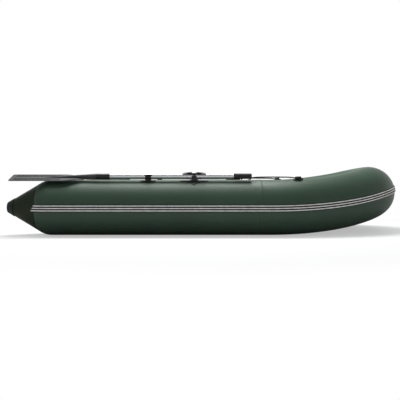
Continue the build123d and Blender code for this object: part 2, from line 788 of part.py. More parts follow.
nodes = build()
box = Compound(children=[s for shape in nodes.values() for s in solids_of(shape)]).bounding_box()
shift = Location((-(box.min.X + box.max.X) / 2, 0, -box.min.Z))
os.makedirs("parts", exist_ok=True)
for name, shape in nodes.items():
    moved = [shift * solid for solid in solids_of(shape)]
    export_step(moved[0] if len(moved) == 1 else Compound(children=moved), f"parts/{name}.step")
pin = shift * Location((rowlock_x, pin_y, shaft_axis_z))
print("nodes", len(nodes), "size", box.size)
print("starboard rowlock pin at", pin.position, "shift", shift.position)
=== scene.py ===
"""Looks of the inflatable dinghy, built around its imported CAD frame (metres, +X bow, +Y port, +Z up)."""

import json
import math

import bmesh
import bpy
from mathutils import Matrix, Vector, noise


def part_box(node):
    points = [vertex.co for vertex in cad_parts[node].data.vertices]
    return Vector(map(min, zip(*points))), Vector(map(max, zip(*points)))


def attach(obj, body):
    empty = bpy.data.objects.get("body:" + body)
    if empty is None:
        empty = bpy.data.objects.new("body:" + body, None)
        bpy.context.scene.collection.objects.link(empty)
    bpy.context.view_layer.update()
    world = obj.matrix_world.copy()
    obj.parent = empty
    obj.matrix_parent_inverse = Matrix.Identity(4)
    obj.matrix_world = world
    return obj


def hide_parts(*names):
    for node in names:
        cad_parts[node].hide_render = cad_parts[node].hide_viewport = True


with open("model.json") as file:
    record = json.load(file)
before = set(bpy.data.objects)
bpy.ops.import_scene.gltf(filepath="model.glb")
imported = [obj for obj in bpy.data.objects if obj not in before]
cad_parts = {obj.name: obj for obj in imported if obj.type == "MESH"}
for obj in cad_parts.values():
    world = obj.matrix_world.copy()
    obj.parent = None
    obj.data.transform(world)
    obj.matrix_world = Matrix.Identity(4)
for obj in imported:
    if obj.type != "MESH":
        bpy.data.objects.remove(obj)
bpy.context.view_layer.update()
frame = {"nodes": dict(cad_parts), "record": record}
SIDES = ("starboard", "port")
MM = 0.001

# ---- Sizes read from the frame, and the bow's driving dimensions ----------------
tube_low, tube_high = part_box("side_tube_starboard")
TUBE_R = (tube_high.z - tube_low.z) / 2
AXIS_Y = (tube_low.y + tube_high.y) / 2
SEAM_X = tube_high.x
SEAM_SETBACK = 72 * MM
BOW_X = SEAM_X + SEAM_SETBACK
BOW_SIDE_R = 990 * MM
BOW_SIDE_TURN = math.radians(42.5)
BOW_TILT = math.radians(15.6)
CONE_COLLAR = 45 * MM
SHOULDER_X = tube_low.x - CONE_COLLAR
CONE_ANGLE = math.radians(30.5)
CONE_TIP_R = 34 * MM
CONE_LENGTH = (TUBE_R - CONE_TIP_R) / math.tan(CONE_ANGLE)
CONE_SHOULDER_R = 140 * MM
# The stern's olive fabric starts this far from the shoulder, on its aft side.
CONE_FABRIC_X = -45 * MM

# The camera stands level, square to the starboard side, 4 m from that tube's axis.
CAMERA_PLACE = (SHOULDER_X + 1018 * MM, AXIS_Y - 4.0, 346 * MM)
LENS = 54.14
SENSOR_WIDTH = 36
SHIFT_Y = -0.043


# ---- The line that the tube follows ----------------------------------------------
FORWARD = Vector((1, 0, 0))
ATHWART = Vector((0, 1, 0))
INBOARD = Vector((0, math.cos(BOW_TILT), math.sin(BOW_TILT)))
SIDE_START = Vector((BOW_X, AXIS_Y, TUBE_R))
SIDE_AXIS = FORWARD.cross(INBOARD)
SIDE_CENTRE = SIDE_START + INBOARD * BOW_SIDE_R
NOSE_TANGENT = FORWARD * math.cos(BOW_SIDE_TURN) + INBOARD * math.sin(BOW_SIDE_TURN)
NOSE_START = (
    SIDE_START
    + FORWARD * BOW_SIDE_R * math.sin(BOW_SIDE_TURN)
    + INBOARD * BOW_SIDE_R * (1 - math.cos(BOW_SIDE_TURN))
)
NOSE_INWARD = (ATHWART - NOSE_TANGENT * NOSE_TANGENT.dot(ATHWART)).normalized()
NOSE_TURN = math.acos(NOSE_TANGENT.dot(ATHWART))
# How far athwart an arc of radius 1 carries the tube, from the nose's start to the middle
NOSE_REACH = math.sin(NOSE_TURN) * NOSE_TANGENT.y + (1 - math.cos(NOSE_TURN)) * NOSE_INWARD.y
NOSE_R = -NOSE_START.y / NOSE_REACH
NOSE_AXIS = NOSE_TANGENT.cross(NOSE_INWARD)
NOSE_CENTRE = NOSE_START + NOSE_INWARD * NOSE_R
SIDE_ARC = BOW_SIDE_R * BOW_SIDE_TURN
HALF_BOW = SIDE_ARC + NOSE_R * NOSE_TURN


def station(s):
    """The starboard tube's middle, tangent, outboard and upward, s metres past the straight's end."""
    middle = Vector(SIDE_START)
    tangent, out, up = Vector(FORWARD), -ATHWART, Vector((0, 0, 1))
    if s <= 0:
        return middle + tangent * s, tangent, out, up
    turn = Matrix.Rotation(min(s, SIDE_ARC) / BOW_SIDE_R, 3, SIDE_AXIS)
    middle = SIDE_CENTRE + turn @ (middle - SIDE_CENTRE)
    if s > SIDE_ARC:
        second = Matrix.Rotation((s - SIDE_ARC) / NOSE_R, 3, NOSE_AXIS)
        middle = NOSE_CENTRE + second @ (middle - NOSE_CENTRE)
        turn = second @ turn
    return middle, turn @ tangent, turn @ out, turn @ up


def on_tube(s, angle, height=0.0, radius=None):
    """A point of the tube's skin; the angle runs from outboard, up over the crown, to inboard."""
    middle, _, out, up = station(s)
    reach = (TUBE_R if radius is None else radius) + height
    return middle + (out * math.cos(angle) + up * math.sin(angle)) * reach


def mirrored(point):
    return Vector((point.x, -point.y, point.z))


def bow_point(s, angle, height=0.0):
    """As on_tube, but s goes on past the bow's middle to the port side."""
    if s <= HALF_BOW:
        return on_tube(s, angle, height)
    return mirrored(on_tube(2 * HALF_BOW - s, angle, height))


def steps(start, end, pitch):
    """Places from start to end, evenly spaced at about the pitch."""
    count = max(2, round(abs(end - start) / pitch))
    return [start + (end - start) * i / count for i in range(count + 1)]


# ---- Mesh helpers -----------------------------------------------------------------
def hull_piece(name, mesh, slot):
    """A smooth piece that rides on the hull, in the finish of its material slot."""
    piece = bpy.data.objects.new(name, mesh)
    bpy.context.scene.collection.objects.link(piece)
    mesh.materials.append(finishes[slot])
    for polygon in mesh.polygons:
        polygon.use_smooth = True
    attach(piece, "hull")
    return piece


def ring_mesh(name, rings, uv, flip=False):
    """Quads between rings of points; uv has the places along and around the piece, in metres."""
    count = len(rings[0])
    faces, corners = [], []
    for i in range(len(rings) - 1):
        for j in range(count):
            k = (j + 1) % count
            face = [i * count + j, (i + 1) * count + j, (i + 1) * count + k, i * count + k]
            spots = [(i, j), (i + 1, j), (i + 1, j + 1), (i, j + 1)]
            faces.append(face[::-1] if flip else face)
            corners += spots[::-1] if flip else spots
    mesh = bpy.data.meshes.new(name)
    mesh.from_pydata([tuple(point) for ring in rings for point in ring], [], faces)
    along, around = uv
    for loop, (i, j) in zip(mesh.uv_layers.new(name="UVMap").data, corners):
        loop.uv = (along[i], around[j])
    mesh.update()
    return mesh


def mirror_mesh(mesh):
    """Turns a starboard mesh into its port twin."""
    mesh.transform(Matrix.Scale(-1, 4, ATHWART))
    mesh.flip_normals()


def finished(build, name):
    """The mesh that a bmesh describes."""
    mesh = bpy.data.meshes.new(name)
    build.to_mesh(mesh)
    build.free()
    return mesh


def join_meshes(name, meshes):
    """One mesh from several, each keeping its own faces."""
    build = bmesh.new()
    for mesh in meshes:
        build.from_mesh(mesh)
    joined = finished(build, name)
    for mesh in meshes:
        bpy.data.meshes.remove(mesh)
    return joined


def close_ends(mesh):
    """Fills a mesh's open ends and turns its faces outward."""
    build = bmesh.new()
    build.from_mesh(mesh)
    rims = [edge for edge in build.edges if edge.is_boundary]
    bmesh.ops.holes_fill(build, edges=rims, sides=0)
    bmesh.ops.recalc_face_normals(build, faces=build.faces)
    build.to_mesh(mesh)
    build.free()
    return mesh


def square_to(axis):
    """The axis, made 1 long, and two directions square to it."""
    axis = Vector(axis).normalized()
    across = axis.orthogonal().normalized()
    return axis, across, axis.cross(across)


def circle(middle, across, other, radius, count):
    """Points round a circle, from the across direction towards the other."""
    angles = [2 * math.pi * k / count for k in range(count)]
    return [middle + (across * math.cos(a) + other * math.sin(a)) * radius for a in angles]


def heading(points, i):
    """Direction of a line of points at one of them."""
    return (points[min(i + 1, len(points) - 1)] - points[max(i - 1, 0)]).normalized()


def tube_mesh(name, points, radius, sides):
    """A round bar along a list of points, closed at both ends."""
    build = bmesh.new()
    rings = []
    normal = heading(points, 0).orthogonal().normalized()
    for i, point in enumerate(points):
        ahead = heading(points, i)
        normal = (normal - ahead * normal.dot(ahead)).normalized()
        rings.append([build.verts.new(p) for p in circle(point, normal, ahead.cross(normal), radius, sides)])
    for first, second in zip(rings, rings[1:]):
        for k in range(sides):
            build.faces.new((first[k], first[(k + 1) % sides], second[(k + 1) % sides], second[k]))
    build.faces.new(rings[0][::-1])
    build.faces.new(rings[-1])
    return finished(build, name)


def turned(profile, place, axis, sides=16):
    """A turned form: profile is (radius, height) from the rim up to the middle, standing on axis."""
    build = bmesh.new()
    axis, across, other = square_to(axis)
    rings = []
    for radius, height in profile:
        middle = Vector(place) + axis * height
        ring = circle(middle, across, other, radius, sides) if radius else [middle]
        rings.append([build.verts.new(point) for point in ring])
    for first, second in zip(rings, rings[1:]):
        for k in range(sides):
            m = (k + 1) % sides
            if len(second) == 1:
                build.faces.new((first[k], first[m], second[0]))
            else:
                build.faces.new((first[k], first[m], second[m], second[k]))
    return finished(build, "turned")


# ---- Materials ----------------------------------------------------------------------
class Nodes:
    """Helpers for building a node tree."""

    def __init__(self, tree):
        self.tree = tree

    def node(self, kind, **values):
        made = self.tree.nodes.new(kind)
        for key, value in values.items():
            setattr(made, key, value)
        return made

    def link(self, out, into):
        self.tree.links.new(out, into)

    def feed(self, made, values):
        """Sets or links a node's inputs, given by name or number."""
        for socket, value in values.items():
            if isinstance(value, bpy.types.NodeSocket):
                self.link(value, made.inputs[socket])
            else:
                made.inputs[socket].default_value = value
        return made

    def span(self, value, low, high, start=0.0, end=1.0):
        """Runs from low to high while the value runs from start to end."""
        limits = {"From Min": start, "From Max": end, "To Min": low, "To Max": high}
        made = self.feed(self.node("ShaderNodeMapRange"), {**limits, "Value": value})
        return made.outputs["Result"]

    def math(self, operation, first, second):
        made = self.feed(self.node("ShaderNodeMath", operation=operation), {0: first, 1: second})
        return made.outputs["Value"]

    def blend(self, share, first, second):
        made = self.feed(self.node("ShaderNodeMixShader"), {"Fac": share, 1: first, 2: second})
        return made.outputs["Shader"]


def shade(colour, share):
    return tuple(c * share for c in colour)


class Finish(Nodes):
    """A material, with helpers for its colour, roughness and relief."""

    def __init__(self, name, colour, roughness=0.5, metallic=0.0, specular=0.5):
        self.material = bpy.data.materials.new(name)
        self.material.use_nodes = True
        super().__init__(self.material.node_tree)
        self.colour = colour
        self.relief = None
        self.shader = self.tree.nodes["Principled BSDF"]
        self.feed(self.shader, {"Base Color": (*colour, 1), "Roughness": roughness})
        self.feed(self.shader, {"Metallic": metallic, "Specular IOR Level": specular})

    def place(self, uv=False, scale=(1, 1, 1)):
        source = self.node("ShaderNodeTexCoord").outputs["UV" if uv else "Object"]
        mapping = self.feed(self.node("ShaderNodeMapping"), {"Scale": scale, "Vector": source})
        return mapping.outputs["Vector"]

    def noise(self, vector, scale, detail, rough=0.5, distortion=0.0):
        values = {"Scale": scale, "Detail": detail, "Roughness": rough, "Distortion": distortion}
        return self.feed(self.node("ShaderNodeTexNoise"), {**values, "Vector": vector}).outputs["Fac"]

    def wave(self, vector, scale, direction, distortion=0.0, detail=0.0):
        made = self.node("ShaderNodeTexWave", wave_type="BANDS", bands_direction=direction)
        values = {"Scale": scale, "Distortion": distortion, "Detail": detail}
        return self.feed(made, {**values, "Vector": vector}).outputs["Fac"]

    def ramp(self, value, stops):
        made = self.feed(self.node("ShaderNodeValToRGB"), {"Fac": value})
        elements = made.color_ramp.elements
        while len(elements) < len(stops):
            elements.new(0.5)
        for element, (place, colour) in zip(elements, stops):
            element.position = place
            element.color = (*colour, 1)
        return made.outputs["Color"]

    def tint(self, value, dark, light):
        """Base colour that drifts between two shades of the finish."""
        stops = [(0.3, shade(self.colour, dark)), (0.7, shade(self.colour, light))]
        self.link(self.ramp(value, stops), self.shader.inputs["Base Color"])

    def rough(self, value, low, high):
        self.link(self.span(value, low, high), self.shader.inputs["Roughness"])

    def bump(self, value, distance, strength):
        """Adds a layer of relief; distance is in metres."""
        made = self.node("ShaderNodeBump")
        self.feed(made, {"Distance": distance, "Strength": strength, "Height": value})
        if self.relief:
            self.link(self.relief, made.inputs["Normal"])
        self.relief = made.outputs["Normal"]
        self.link(self.relief, self.shader.inputs["Normal"])


def coated_fabric(name, colour, specular=0.3):
    """Calendered PVC on a woven scrim: a faint grid of threads under a satin skin."""
    finish = Finish(name, colour, specular=specular)
    flat = finish.place(uv=True)
    solid = finish.place()
    finish.tint(finish.noise(solid, 3.5, 4.0, 0.55), 0.9, 1.1)
    finish.rough(finish.noise(solid, 14.0, 5.0, 0.6), 0.42, 0.52)
    warp, weft = [finish.wave(flat, 150.0, direction) for direction in "XY"]
    finish.bump(finish.math("MULTIPLY", warp, weft), 0.00008, 0.5)
    finish.bump(finish.noise(solid, 9.0, 2.0), 0.0012, 0.35)
    return finish.material


def rubber(name, colour, roughness=(0.5, 0.68)):
    finish = Finish(name, colour, specular=0.35)
    solid = finish.place()
    finish.tint(finish.noise(solid, 30.0, 4.0, 0.6), 0.8, 1.25)
    finish.rough(finish.noise(solid, 60.0, 3.0), *roughness)
    finish.bump(finish.noise(solid, 900.0, 2.0, 0.6), 0.00012, 0.5)
    finish.bump(finish.noise(solid, 40.0, 2.0), 0.0006, 0.25)
    return finish.material


def moulded_plastic(name, colour, roughness=(0.38, 0.55)):
    """Plastic with fine scuffs along its X axis."""
    finish = Finish(name, colour, specular=0.45)
    solid = finish.place()
    finish.tint(finish.noise(solid, 12.0, 5.0, 0.6), 0.86, 1.16)
    finish.rough(finish.noise(finish.place(scale=(3, 60, 60)), 9.0, 6.0, 0.7, 0.4), *roughness)
    finish.bump(finish.noise(solid, 1400.0, 2.0, 0.6), 0.00008, 0.5)
    return finish.material


def drawn_aluminium(name, colour):
    """Mill-finish tube with fine lines along its length."""
    finish = Finish(name, colour, roughness=0.3, metallic=1.0)
    lines = finish.noise(finish.place(scale=(1.2, 160, 160)), 12.0, 5.0, 0.65)
    finish.rough(lines, 0.26, 0.42)
    finish.tint(lines, 0.93, 1.04)
    finish.bump(lines, 0.00006, 0.4)
    return finish.material


def polished_steel(name, colour):
    finish = Finish(name, colour, roughness=0.2, metallic=1.0)
    swirl = finish.noise(finish.place(), 300.0, 4.0, 0.6)
    finish.rough(swirl, 0.14, 0.28)
    finish.bump(swirl, 0.00004, 0.4)
    return finish.material


PLY = 3.2 * MM
# A wave texture of scale 1 has 20 bands in each 2 pi metres.
PLY_BANDS = 2 * math.pi / (20 * PLY)


def plywood(name, colour, ply_axis):
    """Varnished plywood with its grain athwart; its edges show the plies, stacked along ply_axis."""
    finish = Finish(name, colour, specular=0.5)
    grain = finish.noise(finish.place(scale=(34, 1.6, 34)), 3.0, 7.0, 0.62, 0.8)
    stops = [(0.28, shade(colour, 0.55)), (0.48, shade(colour, 0.95)), (0.72, shade(colour, 1.35))]
    face = finish.ramp(grain, stops)
    plies = finish.wave(finish.place(), PLY_BANDS, ply_axis, 0.5, 1.0)
    edge = finish.ramp(plies, [(0.4, shade(colour, 0.3)), (0.6, shade(colour, 1.05))])
    normal = finish.node("ShaderNodeTexCoord").outputs["Normal"]
    split = finish.feed(finish.node("ShaderNodeSeparateXYZ"), {"Vector": normal})
    facing = finish.math("ABSOLUTE", split.outputs[ply_axis], 0)
    blend = finish.node("ShaderNodeMix", data_type="RGBA")
    finish.feed(blend, {"Factor": finish.math("GREATER_THAN", facing, 0.6), "A": edge, "B": face})
    finish.link(blend.outputs["Result"], finish.shader.inputs["Base Color"])
    finish.rough(finish.noise(finish.place(), 20.0, 3.0), 0.28, 0.42)
    finish.bump(grain, 0.0003, 0.3)
    finish.feed(finish.shader, {"Coat Weight": 0.25, "Coat Roughness": 0.2})
    return finish.material


def webbing(name, colour):
    finish = Finish(name, colour, roughness=0.85, specular=0.2)
    finish.tint(finish.noise(finish.place(), 120.0, 3.0, 0.6), 0.7, 1.4)
    finish.bump(finish.wave(finish.place(), 90.0, "X", 0.6, 1.0), 0.0005, 0.7)
    return finish.material


def braid(name, colour):
    finish = Finish(name, colour, roughness=0.8, specular=0.25)
    solid = finish.place()
    finish.tint(finish.noise(solid, 700.0, 3.0, 0.7), 0.6, 1.5)
    finish.bump(finish.noise(solid, 1800.0, 2.0, 0.7), 0.0003, 0.6)
    return finish.material


GREEN = (0.045, 0.084, 0.053)
OLIVE = (0.0175, 0.027, 0.0125)
WOOD = (0.36, 0.20, 0.085)
finishes = {
    "tube_fabric": coated_fabric("tube_fabric", GREEN),
    "cone_fabric": coated_fabric("cone_fabric", OLIVE, specular=0.12),
    "bottom_fabric": coated_fabric("bottom_fabric", shade(GREEN, 0.9)),
    "black_rubber": rubber("black_rubber", (0.008, 0.008, 0.0085)),
    "rib_grey": rubber("rib_grey", (0.9, 0.885, 0.85), (0.45, 0.6)),
    "plywood": plywood("plywood", WOOD, "Z"),
    "black_plastic": moulded_plastic("black_plastic", (0.010, 0.010, 0.011)),
    "blade_plastic": moulded_plastic("blade_plastic", (0.042, 0.047, 0.047), (0.38, 0.52)),
    "grip_rubber": rubber("grip_rubber", (0.022, 0.022, 0.024), (0.6, 0.8)),
    "webbing": webbing("webbing", (0.02, 0.02, 0.02)),
    "rope": braid("rope", (0.018, 0.018, 0.02)),
    "aluminium": drawn_aluminium("aluminium", (0.74, 0.75, 0.77)),
    "steel": polished_steel("steel", (0.62, 0.62, 0.63)),
}


def dress_cad_nodes():
    for entry in frame["record"]["subparts"]:
        node = frame["nodes"][entry["node"]]
        node.data.materials.clear()
        node.data.materials.append(finishes[entry["material_slot"]])
    frame["nodes"]["transom"].data.materials[0] = plywood("plywood_upright", WOOD, "X")


# ---- Inflated tubes --------------------------------------------------------------------
AROUND = 128
ANGLES = [2 * math.pi * j / AROUND for j in range(AROUND)]
ARCS = [TUBE_R * 2 * math.pi * j / AROUND for j in range(AROUND + 1)]
SIDE_PITCH, BOW_PITCH, CONE_PITCH = 10 * MM, 9 * MM, 5 * MM
SEAM_S = SEAM_X - BOW_X
SLACK = 0.5 * MM
PUCKER, PUCKER_REACH = 0.9 * MM, 45 * MM
# How deep the bow's folds are, and how fast their wave runs, in radians a metre
FOLD_DEPTH, FOLD_RATE = 2.6 * MM, 62
GORES, GORE_HOLLOW, GORE_FADE = 10, 0.5 * MM, 60 * MM
# Sines of the angles below which the tube is close to the floor, and lies on it
UNDERSIDE, CONTACT = -0.9, -0.97


def skin_relief(point, angle, distance_to_seam):
    """Small slackness of the skin, in metres: soft unevenness, and puckers beside a glued seam."""
    soft = noise.noise(point * 5.0) * SLACK
    near = math.exp(-((distance_to_seam / PUCKER_REACH) ** 2))
    return soft + noise.noise(Vector((point.x * 6, angle * 7.0, point.y * 6))) * PUCKER * near


def above_floor(relief, angle):
    """Under the tube the skin only goes inward, so that it stays above the floor."""
    return min(relief, 0) if math.sin(angle) < UNDERSIDE else relief


def tube_skin(name, stations, point_at, relief, flip=True):
    """Skin through the stations; relief says how far each point stands off the tube."""
    rings = [[point_at(s, a, above_floor(relief(s, a), a)) for a in ANGLES] for s in stations]
    return ring_mesh(name, rings, (stations, ARCS), flip)


def side_skin(side):
    aft = SHOULDER_X + CONE_FABRIC_X - BOW_X

    def point(s, a, height):
        return on_tube(s, a, height, cone_radius(s + BOW_X - SHOULDER_X))

    def relief(s, a):
        return skin_relief(on_tube(s, a), a, min(abs(s - SEAM_S), abs(s - aft)))

    mesh = tube_skin("side_tube_skin_" + side, steps(aft, SEAM_S, SIDE_PITCH), point, relief)
    if side == "port":
        mirror_mesh(mesh)
    piece = hull_piece("side_tube_skin_" + side, mesh, "tube_fabric")
    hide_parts("side_tube_" + side)


def bow_skin():
    """The bow tube; its inner side is folded a little by the bend."""
    port_seam = 2 * HALF_BOW - SEAM_S

    def relief(s, a):
        value = skin_relief(bow_point(s, a), a, min(abs(s - SEAM_S), abs(port_seam - s)))
        bend = min(max(min(s, 2 * HALF_BOW - s) / SIDE_ARC, 0), 1)
        inner = max(0.0, -math.cos(a)) ** 3
        wander = 2.2 * noise.noise(Vector((s * 4, a, 3.0)))
        fold = abs(math.sin(s * FOLD_RATE + wander))
        return value - (1 - fold) ** 2 * FOLD_DEPTH * inner * bend

    mesh = tube_skin("bow_tube_skin", steps(SEAM_S, port_seam, BOW_PITCH), bow_point, relief)
    piece = hull_piece("bow_tube_skin", mesh, "tube_fabric")
    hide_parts("bow_tube")


def cone_radius(x):
    """Radius of the stern cone, x metres forward of the shoulder."""
    tangent = CONE_SHOULDER_R * math.tan(CONE_ANGLE / 2)
    if x >= tangent:
        return TUBE_R
    if x > tangent - CONE_SHOULDER_R * math.sin(CONE_ANGLE):
        return TUBE_R - CONE_SHOULDER_R + math.sqrt(CONE_SHOULDER_R**2 - (x - tangent) ** 2)
    return TUBE_R + x * math.tan(CONE_ANGLE)


def cone_skin(side):
    """Stern cone sewn from gores, with shallow hollows between its glued seams."""

    def along(x):
        return SHOULDER_X + x - BOW_X

    def point(x, a, height):
        return on_tube(along(x), a, height, cone_radius(x))

    def relief(x, a):
        gap = abs(x - CONE_FABRIC_X)
        hollow = GORE_HOLLOW * min(1.0, gap / GORE_FADE) * (1 + math.cos(a * GORES))
        return skin_relief(on_tube(along(x), a), a, gap) - hollow

    stations = steps(CONE_FABRIC_X, -CONE_LENGTH, CONE_PITCH)
    mesh = tube_skin("stern_cone_skin_" + side, stations, point, relief, flip=False)
    if side == "port":
        mirror_mesh(mesh)
    piece = hull_piece("stern_cone_skin_" + side, mesh, "cone_fabric")
    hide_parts("stern_cone_" + side)


# ---- Seam tapes ------------------------------------------------------------------------
TAPE_WIDTH, TAPE_EDGE = 26 * MM, 2.5 * MM
TAPE_HEIGHT, TAPE_RIM, TAPE_UNDER = 0.9 * MM, 0.05 * MM, 0.02 * MM


def seam_tape():
    """The starboard seam's tape, glued right round the tube, with softened edges."""
    start, end = SEAM_S - TAPE_WIDTH / 2, SEAM_S + TAPE_WIDTH / 2
    stations = [start, start + TAPE_EDGE, end - TAPE_EDGE, end]
    rings = []
    for s, height in zip(stations, (TAPE_RIM, TAPE_HEIGHT, TAPE_HEIGHT, TAPE_RIM)):
        rings.append([on_tube(s, a, height if math.sin(a) > CONTACT else TAPE_UNDER) for a in ANGLES])
    return ring_mesh("tape", rings, (stations, ARCS), flip=True)


def seam_tapes():
    starboard, port = seam_tape(), seam_tape()
    mirror_mesh(port)
    hull_piece("tube_seam_tapes", join_meshes("tube_seam_tapes", [starboard, port]), "tube_fabric")


# ---- Bottom sheet ---------------------------------------------------------------------------
SHEET_Z = 25 * MM
SHEET_HALF_THICK = 2 * MM
# Where its cut ends aft, and the spacing and give of its mesh
SHEET_AFT_X = BOW_X - 1366.5 * MM
SHEET_PITCH, SHEET_HALF_COLUMNS = 24 * MM, 14
SHEET_GIVE = 1.6 * MM
NOSE = station(HALF_BOW)[0]
SWEEP_ANGLE = math.radians(15)
SWEEP_END = Vector((NOSE.x - TUBE_R * math.sin(SWEEP_ANGLE), 0, NOSE.z - TUBE_R * math.cos(SWEEP_ANGLE)))
SWEEP_RUN, SWEEP_RISE = SWEEP_END.x - BOW_X, SWEEP_END.z - SHEET_Z
SWEEP_R = (SWEEP_RUN**2 + SWEEP_RISE**2) / (2 * SWEEP_RISE)
# Middles of the starboard tube, from aft of the whole sheet to the nose
CENTRELINE = [station(s)[0] for s in steps(-2.6, HALF_BOW, 12 * MM)]


def sheet_line(x):
    """Middle of the bottom sheet and its slope at a place along the boat."""
    angle = math.asin(max(0.0, x - BOW_X) / SWEEP_R)
    return Vector((x, 0, SHEET_Z + SWEEP_R * (1 - math.cos(angle)))), angle


def half_width(middle):
    """How far the sheet runs outboard before it meets the tube, found by halving."""
    near, far = 0.0, -AXIS_Y
    for _ in range(18):
        y = (near + far) / 2
        point = Vector((middle.x, -y, middle.z))
        if min((point - centre).length for centre in CENTRELINE) > TUBE_R:
            near = y
        else:
            far = y
    return near


def bottom_sheet():
    """Stretched fabric between the tubes; it gives a little, most of all along its middle."""
    counts = range(-SHEET_HALF_COLUMNS, SHEET_HALF_COLUMNS + 1)
    columns = [math.sin(math.pi / 2 * j / SHEET_HALF_COLUMNS) for j in counts]
    stations = steps(SHEET_AFT_X, SWEEP_END.x - 1 * MM, SHEET_PITCH)
    rings = []
    for x in stations:
        middle, slope = sheet_line(x)
        normal = Vector((-math.sin(slope), 0, math.cos(slope)))
        half = half_width(middle)
        top, under = [], []
        for share in columns:
            flat = middle + Vector((0, half * share, 0))
            give = abs(noise.noise(flat * 4.0)) * SHEET_GIVE * (1 - share**2)
            top.append(flat + normal * (SHEET_HALF_THICK - give))
            under.append(flat - normal * (SHEET_HALF_THICK - give * 0.3))
        rings.append(top + under[::-1])
    across = [half_width(sheet_line(0)[0]) * share for share in columns]
    uv = (stations, across + across[::-1] + across[:1])
    mesh = close_ends(ring_mesh("bottom_sheet", rings, uv, flip=True))
    piece = hull_piece("bottom_sheet", mesh, "bottom_fabric")
    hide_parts("hull_bottom")


# ---- Floor straps ------------------------------------------------------------------------------
SLAT_START = BOW_X - 1284 * MM
SLAT_WIDTH, SLAT_PITCH, SLAT_COUNT = 105 * MM, 150 * MM, 8
FLOOR_TOP = 36 * MM
STRAP_HALF, STRAP_THICK, STRAP_Y = 19 * MM, 1.5 * MM, 230 * MM
STRAP_SAG, STRAP_WANDER, STRAP_PITCH = 2.2 * MM, 1.2 * MM, 5 * MM
# The webbing is a little narrower than its CAD piece, which leaves it room to wander.
STRAP_SHARE = 0.95
# Outline in shares of the half width and the thickness: over the top from one thin edge, and back below
STRAP_OUTLINE = [
    (-1, 0.35), (-0.94, 1), (-0.6, 1), (0, 0.94), (0.6, 1),
    (0.94, 1), (1, 0.35), (0.94, 0), (0, 0), (-0.94, 0),
]


def strap_height(x):
    """The strap lies on the slats and sags a little in the gaps between them."""
    place = (x - SLAT_START) % SLAT_PITCH
    if place <= SLAT_WIDTH:
        return FLOOR_TOP
    share = (place - SLAT_WIDTH) / (SLAT_PITCH - SLAT_WIDTH)
    return FLOOR_TOP - STRAP_SAG * math.sin(math.pi * share)


def floor_strap(side):
    low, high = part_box("floor_straps")
    stations = steps(low.x, high.x, STRAP_PITCH)
    rings = []
    for x in stations:
        middle = side * STRAP_Y + noise.noise(Vector((x * 3, side, 0))) * STRAP_WANDER
        z = strap_height(x)
        ring = [(middle + STRAP_HALF * STRAP_SHARE * a, z + STRAP_THICK * b) for a, b in STRAP_OUTLINE]
        rings.append([Vector((x, *point)) for point in ring])
    width = [STRAP_HALF * a for a, _ in STRAP_OUTLINE]
    return close_ends(ring_mesh("strap", rings, (stations, width + width[:1])))


def floor_straps():
    mesh = join_meshes("floor_strap_webbing", [floor_strap(side) for side in (-1, 1)])
    piece = hull_piece("floor_strap_webbing", mesh, "webbing")
    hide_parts("floor_straps")


# ---- Fasteners ---------------------------------------------------------------------------------
RIVET = [(5 * MM, -0.3 * MM), (5 * MM, 0.3 * MM), (4.2 * MM, 1.2 * MM), (2.4 * MM, 1.9 * MM), (0, 2.1 * MM)]
RIVET_OFFSET = 32 * MM
BENCH_SCREW_Y, BENCH_SCREW_PITCH = 389.5 * MM, 70 * MM
PAD_SCREW_Y, PAD_SCREW_INSET = 106 * MM, 22 * MM
DRAIN_FLANGE, DRAIN_SCREWS, DRAIN_SCREW_CIRCLE = 4 * MM, 4, 20.4 * MM


def screw_profile(radius):
    """Pan head with a round socket in its middle."""
    return [(radius, -0.4 * MM), (radius, 0.5 * MM), (radius * 0.86, 1.1 * MM), (radius * 0.45, 1.5 * MM),
            (radius * 0.36, 1.5 * MM), (radius * 0.3, 0.6 * MM), (0, 0.6 * MM)]


def rivets():
    """Four through each slat, two for each floor strap."""
    for step in range(SLAT_COUNT):
        middle = SLAT_START + SLAT_WIDTH / 2 + step * SLAT_PITCH
        for side in (-1, 1):
            for along in (-RIVET_OFFSET, RIVET_OFFSET):
                place = (middle + along, side * STRAP_Y, FLOOR_TOP + STRAP_THICK)
                yield turned(RIVET, place, (0, 0, 1), 12)


def bench_screws():
    for bench in ("bench_seat_front", "bench_seat_rear"):
        low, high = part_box(bench)
        for side in (-1, 1):
            for along in (-BENCH_SCREW_PITCH, 0, BENCH_SCREW_PITCH):
                place = ((low.x + high.x) / 2 + along, side * BENCH_SCREW_Y, high.z)
                yield turned(screw_profile(5 * MM), place, (0, 0, 1))


def pad_screws():
    for pad, out in (("transom_pad_outer", -1), ("transom_pad_inner", 1)):
        low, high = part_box(pad)
        face = low.x if out < 0 else high.x
        for side in (-1, 1):
            for z in (low.z + PAD_SCREW_INSET, high.z - PAD_SCREW_INSET):
                yield turned(screw_profile(5 * MM), (face, side * PAD_SCREW_Y, z), (out, 0, 0))


def drain_face():
    """Middle of the drain plug's flange, on its aft face."""
    low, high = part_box("drain_plug")
    return high.x - DRAIN_FLANGE, (low.y + high.y) / 2, (low.z + high.z) / 2


def drain_screws():
    x, y, z = drain_face()
    for k in range(DRAIN_SCREWS):
        angle = math.pi / 4 + k * math.pi / 2
        place = (x, y + DRAIN_SCREW_CIRCLE * math.cos(angle), z + DRAIN_SCREW_CIRCLE * math.sin(angle))
        yield turned(screw_profile(2.6 * MM), place, (-1, 0, 0), 10)


def fasteners():
    """Rivets through the floor straps, and the screws of the benches, transom pads and drain plug."""
    meshes = [*rivets(), *bench_screws(), *pad_screws(), *drain_screws()]
    hull_piece("fasteners", join_meshes("fasteners", meshes), "steel")


